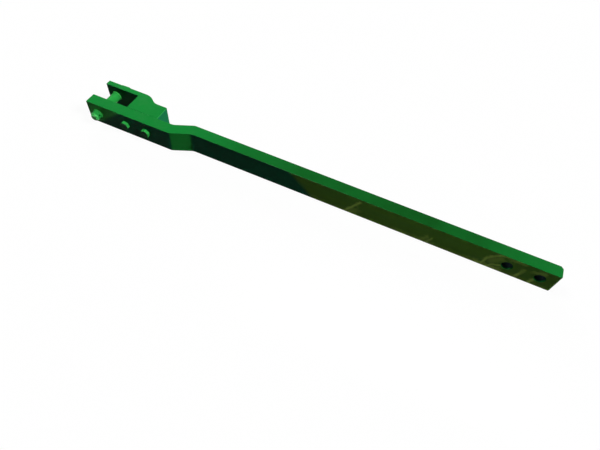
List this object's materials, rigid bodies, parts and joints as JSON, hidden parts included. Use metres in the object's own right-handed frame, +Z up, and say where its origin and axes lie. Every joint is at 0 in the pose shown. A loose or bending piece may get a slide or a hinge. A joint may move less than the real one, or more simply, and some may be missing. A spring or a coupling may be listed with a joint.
{
  "type": "tractor drawbar",
  "caption": "Offset tractor drawbar of flat bar with a bolted hammer strap, a round-nosed hitch pin with a folding bail, wear bushes and cross holes at the tractor end.",
  "frame": {"origin": "the hitch point: on the axis of the hitch pin, midway between the two jaws and midway across the bar's width", "axes": "+X along the bar from the implement to the tractor, +Y along the hitch pin from its rounded end to its collar (the bar's top side in use), +Z up across the bar's width: the bar lies on one side edge, as in the picture"},
  "size_m": [2.014, 0.2098, 0.1016],
  "materials": {
    "green_paint_bar": "gloss",
    "green_paint_strap": "gloss",
    "green_paint_pin": "gloss",
    "green_paint_bolts": "gloss",
    "green_paint_bushes": "gloss"
  },
  "bodies": {
    "drawbar": {"drawbar_bar": "green_paint_bar", "hammer_strap": "green_paint_strap", "lower_wear_bush": "green_paint_bushes", "upper_wear_bush": "green_paint_bushes", "front_strap_bolt": "green_paint_bolts", "rear_strap_bolt": "green_paint_bolts"},
    "hitch_pin": {"hitch_pin": "green_paint_pin"},
    "pin_bail": {"pin_bail": "green_paint_pin"}
  },
  "joints": [
    {"name": "hitch_pin_slide", "type": "slide", "parent": "drawbar", "child": "hitch_pin", "axis": [0, 1, 0], "range_m": [0, 0.2]},
    {"name": "pin_bail_swing", "type": "hinge", "parent": "hitch_pin", "child": "pin_bail", "pos_m": [0, 0.0795, 0], "axis": [0, 0, 1], "range_deg": [-13, 187]}
  ]
}
